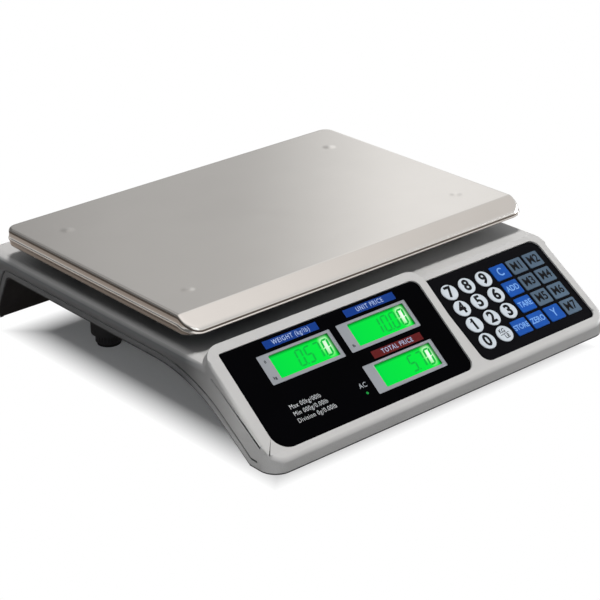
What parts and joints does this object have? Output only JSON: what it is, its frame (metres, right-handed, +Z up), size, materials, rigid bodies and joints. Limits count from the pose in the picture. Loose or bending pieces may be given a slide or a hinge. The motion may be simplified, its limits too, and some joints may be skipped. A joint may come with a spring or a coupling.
{
  "type": "retail price-computing scale",
  "caption": "Counter price scale: stainless pan on a load cell, sloping console with backlit displays and a flat keypad, rear customer display, levelling feet",
  "frame": {"origin": "under the middle of the housing, on the table", "axes": "+X to the operator's right, +Y from the operator to the customer, +Z up"},
  "size_m": [0.34, 0.362, 0.1],
  "materials": {
    "housing_plastic": "fine satin texture",
    "tray_plastic": "fine matt texture",
    "window_acrylic": "glossy tinted sheet",
    "overlay_film": "satin film",
    "board_laminate": "solder mask",
    "lcd_glass": "backlit panel",
    "lamp_lens": "clear moulded lens",
    "key_grey": "satin",
    "key_blue": "satin",
    "key_slate": "satin",
    "pan_steel": "brushed along its width",
    "spider_aluminium": "as cast",
    "cell_aluminium": "anodised",
    "plate_steel": "zinc plated",
    "screw_steel": "zinc plated",
    "rest_rubber": "matt",
    "battery_case": "moulded case",
    "transformer_iron": "varnished laminations",
    "cable_jacket": "smooth jacket",
    "fitting_plastic": "moulded",
    "rocker_red": "moulded",
    "foot_nylon": "moulded"
  },
  "bodies": {
    "body": {"upper_housing": "housing_plastic", "base_tray": "tray_plastic", "display_window": "window_acrylic", "keypad_overlay": "overlay_film", "keypad_board": "board_laminate", "main_board": "board_laminate", "lcd_modules": "lcd_glass", "charge_lamp": "lamp_lens", "rear_window": "window_acrylic", "rear_display_board": "board_laminate", "load_cell": "cell_aluminium", "lower_spacer": "cell_aluminium", "load_cell_bolts": "screw_steel", "cell_base_plate": "plate_steel", "overload_stops": "screw_steel", "battery": "battery_case", "transformer": "transformer_iron", "power_inlet": "fitting_plastic", "switch_frame": "fitting_plastic", "wiring_loom": "cable_jacket", "housing_screws": "screw_steel"},
    "platform": {"pan_spider": "spider_aluminium", "pan_rests": "rest_rubber", "upper_spacer": "cell_aluminium", "spider_bolts": "screw_steel"},
    "pan_lift": {"pan": "pan_steel"},
    "rocker": {"switch_rocker": "rocker_red"},
    "door": {"battery_door": "tray_plastic"},
    "key_7_cap": {"key_7": "key_grey"},
    "key_8_cap": {"key_8": "key_grey"},
    "key_9_cap": {"key_9": "key_grey"},
    "key_clear_cap": {"key_clear": "key_blue"},
    "key_m1_cap": {"key_m1": "key_slate"},
    "key_m2_cap": {"key_m2": "key_slate"},
    "key_4_cap": {"key_4": "key_grey"},
    "key_5_cap": {"key_5": "key_grey"},
    "key_6_cap": {"key_6": "key_grey"},
    "key_add_cap": {"key_add": "key_blue"},
    "key_m3_cap": {"key_m3": "key_slate"},
    "key_m4_cap": {"key_m4": "key_slate"},
    "key_1_cap": {"key_1": "key_grey"},
    "key_2_cap": {"key_2": "key_grey"},
    "key_3_cap": {"key_3": "key_grey"},
    "key_tare_cap": {"key_tare": "key_blue"},
    "key_m5_cap": {"key_m5": "key_slate"},
    "key_m6_cap": {"key_m6": "key_slate"},
    "key_0_cap": {"key_0": "key_grey"},
    "key_unit_cap": {"key_unit": "key_grey"},
    "key_store_cap": {"key_store": "key_blue"},
    "key_zero_cap": {"key_zero": "key_blue"},
    "key_enter_cap": {"key_enter": "key_blue"},
    "key_m7_cap": {"key_m7": "key_slate"},
    "pad_fl": {"foot_pad_fl": "rest_rubber"},
    "wheel_fl": {"foot_screw_fl": "foot_nylon"},
    "pad_fr": {"foot_pad_fr": "rest_rubber"},
    "wheel_fr": {"foot_screw_fr": "foot_nylon"},
    "pad_rl": {"foot_pad_rl": "rest_rubber"},
    "wheel_rl": {"foot_screw_rl": "foot_nylon"},
    "pad_rr": {"foot_pad_rr": "rest_rubber"},
    "wheel_rr": {"foot_screw_rr": "foot_nylon"}
  },
  "joints": [
    {"name": "platform_sink", "type": "slide", "parent": "body", "child": "platform", "axis": [0, 0, 1], "range_m": [-0.0007, 0], "stiffness_N_per_m": 60000, "deforming": ["load_cell"]},
    {"name": "pan_lift_off", "type": "slide", "parent": "platform", "child": "pan_lift", "axis": [0, 0, 1], "range_m": [0, 0.1]},
    {"name": "rocker_tilt", "type": "hinge", "parent": "body", "child": "rocker", "pos_m": [-0.134, 0.1777, 0.05], "axis": [1, 0, 0], "range_deg": [0, 14]},
    {"name": "door_lift_off", "type": "slide", "parent": "body", "child": "door", "axis": [0, 0, -1], "range_m": [0, 0.03]},
    {"name": "key_7_press", "type": "slide", "parent": "body", "child": "key_7_cap", "axis": [0, 0.5417, -0.8406], "range_m": [0, 0.0004], "stiffness_N_per_m": 1500},
    {"name": "key_8_press", "type": "slide", "parent": "body", "child": "key_8_cap", "axis": [0, 0.5417, -0.8406], "range_m": [0, 0.0004], "stiffness_N_per_m": 1500},
    {"name": "key_9_press", "type": "slide", "parent": "body", "child": "key_9_cap", "axis": [0, 0.5417, -0.8406], "range_m": [0, 0.0004], "stiffness_N_per_m": 1500},
    {"name": "key_clear_press", "type": "slide", "parent": "body", "child": "key_clear_cap", "axis": [0, 0.5417, -0.8406], "range_m": [0, 0.0004], "stiffness_N_per_m": 1500},
    {"name": "key_m1_press", "type": "slide", "parent": "body", "child": "key_m1_cap", "axis": [0, 0.5417, -0.8406], "range_m": [0, 0.0004], "stiffness_N_per_m": 1500},
    {"name": "key_m2_press", "type": "slide", "parent": "body", "child": "key_m2_cap", "axis": [0, 0.5417, -0.8406], "range_m": [0, 0.0004], "stiffness_N_per_m": 1500},
    {"name": "key_4_press", "type": "slide", "parent": "body", "child": "key_4_cap", "axis": [0, 0.5417, -0.8406], "range_m": [0, 0.0004], "stiffness_N_per_m": 1500},
    {"name": "key_5_press", "type": "slide", "parent": "body", "child": "key_5_cap", "axis": [0, 0.5417, -0.8406], "range_m": [0, 0.0004], "stiffness_N_per_m": 1500},
    {"name": "key_6_press", "type": "slide", "parent": "body", "child": "key_6_cap", "axis": [0, 0.5417, -0.8406], "range_m": [0, 0.0004], "stiffness_N_per_m": 1500},
    {"name": "key_add_press", "type": "slide", "parent": "body", "child": "key_add_cap", "axis": [0, 0.5417, -0.8406], "range_m": [0, 0.0004], "stiffness_N_per_m": 1500},
    {"name": "key_m3_press", "type": "slide", "parent": "body", "child": "key_m3_cap", "axis": [0, 0.5417, -0.8406], "range_m": [0, 0.0004], "stiffness_N_per_m": 1500},
    {"name": "key_m4_press", "type": "slide", "parent": "body", "child": "key_m4_cap", "axis": [0, 0.5417, -0.8406], "range_m": [0, 0.0004], "stiffness_N_per_m": 1500},
    {"name": "key_1_press", "type": "slide", "parent": "body", "child": "key_1_cap", "axis": [0, 0.5417, -0.8406], "range_m": [0, 0.0004], "stiffness_N_per_m": 1500},
    {"name": "key_2_press", "type": "slide", "parent": "body", "child": "key_2_cap", "axis": [0, 0.5417, -0.8406], "range_m": [0, 0.0004], "stiffness_N_per_m": 1500},
    {"name": "key_3_press", "type": "slide", "parent": "body", "child": "key_3_cap", "axis": [0, 0.5417, -0.8406], "range_m": [0, 0.0004], "stiffness_N_per_m": 1500},
    {"name": "key_tare_press", "type": "slide", "parent": "body", "child": "key_tare_cap", "axis": [0, 0.5417, -0.8406], "range_m": [0, 0.0004], "stiffness_N_per_m": 1500},
    {"name": "key_m5_press", "type": "slide", "parent": "body", "child": "key_m5_cap", "axis": [0, 0.5417, -0.8406], "range_m": [0, 0.0004], "stiffness_N_per_m": 1500},
    {"name": "key_m6_press", "type": "slide", "parent": "body", "child": "key_m6_cap", "axis": [0, 0.5417, -0.8406], "range_m": [0, 0.0004], "stiffness_N_per_m": 1500},
    {"name": "key_0_press", "type": "slide", "parent": "body", "child": "key_0_cap", "axis": [0, 0.5417, -0.8406], "range_m": [0, 0.0004], "stiffness_N_per_m": 1500},
    {"name": "key_unit_press", "type": "slide", "parent": "body", "child": "key_unit_cap", "axis": [0, 0.5417, -0.8406], "range_m": [0, 0.0004], "stiffness_N_per_m": 1500},
    {"name": "key_store_press", "type": "slide", "parent": "body", "child": "key_store_cap", "axis": [0, 0.5417, -0.8406], "range_m": [0, 0.0004], "stiffness_N_per_m": 1500},
    {"name": "key_zero_press", "type": "slide", "parent": "body", "child": "key_zero_cap", "axis": [0, 0.5417, -0.8406], "range_m": [0, 0.0004], "stiffness_N_per_m": 1500},
    {"name": "key_enter_press", "type": "slide", "parent": "body", "child": "key_enter_cap", "axis": [0, 0.5417, -0.8406], "range_m": [0, 0.0004], "stiffness_N_per_m": 1500},
    {"name": "key_m7_press", "type": "slide", "parent": "body", "child": "key_m7_cap", "axis": [0, 0.5417, -0.8406], "range_m": [0, 0.0004], "stiffness_N_per_m": 1500},
    {"name": "foot_travel_fl", "type": "slide", "parent": "body", "child": "pad_fl", "axis": [0, 0, 1], "range_m": [-0.006, 0.0005]},
    {"name": "foot_turn_fl", "type": "hinge", "parent": "pad_fl", "child": "wheel_fl", "pos_m": [-0.12, -0.152, 0.005], "axis": [0, 0, 1], "range_deg": [-1728.5, 144.5]},
    {"name": "foot_travel_fr", "type": "slide", "parent": "body", "child": "pad_fr", "axis": [0, 0, 1], "range_m": [-0.006, 0.0005]},
    {"name": "foot_turn_fr", "type": "hinge", "parent": "pad_fr", "child": "wheel_fr", "pos_m": [0.12, -0.152, 0.005], "axis": [0, 0, 1], "range_deg": [-1728.5, 144.5]},
    {"name": "foot_travel_rl", "type": "slide", "parent": "body", "child": "pad_rl", "axis": [0, 0, 1], "range_m": [-0.006, 0.0005]},
    {"name": "foot_turn_rl", "type": "hinge", "parent": "pad_rl", "child": "wheel_rl", "pos_m": [-0.112, 0.096, 0.005], "axis": [0, 0, 1], "range_deg": [-1728.5, 144.5]},
    {"name": "foot_travel_rr", "type": "slide", "parent": "body", "child": "pad_rr", "axis": [0, 0, 1], "range_m": [-0.006, 0.0005]},
    {"name": "foot_turn_rr", "type": "hinge", "parent": "pad_rr", "child": "wheel_rr", "pos_m": [0.112, 0.096, 0.005], "axis": [0, 0, 1], "range_deg": [-1728.5, 144.5]}
  ],
  "couplings": [
    {"joint": "foot_turn_fl", "follows": "foot_travel_fl", "rad_per_m": 5026.5},
    {"joint": "foot_turn_fr", "follows": "foot_travel_fr", "rad_per_m": 5026.5},
    {"joint": "foot_turn_rl", "follows": "foot_travel_rl", "rad_per_m": 5026.5},
    {"joint": "foot_turn_rr", "follows": "foot_travel_rr", "rad_per_m": 5026.5}
  ]
}
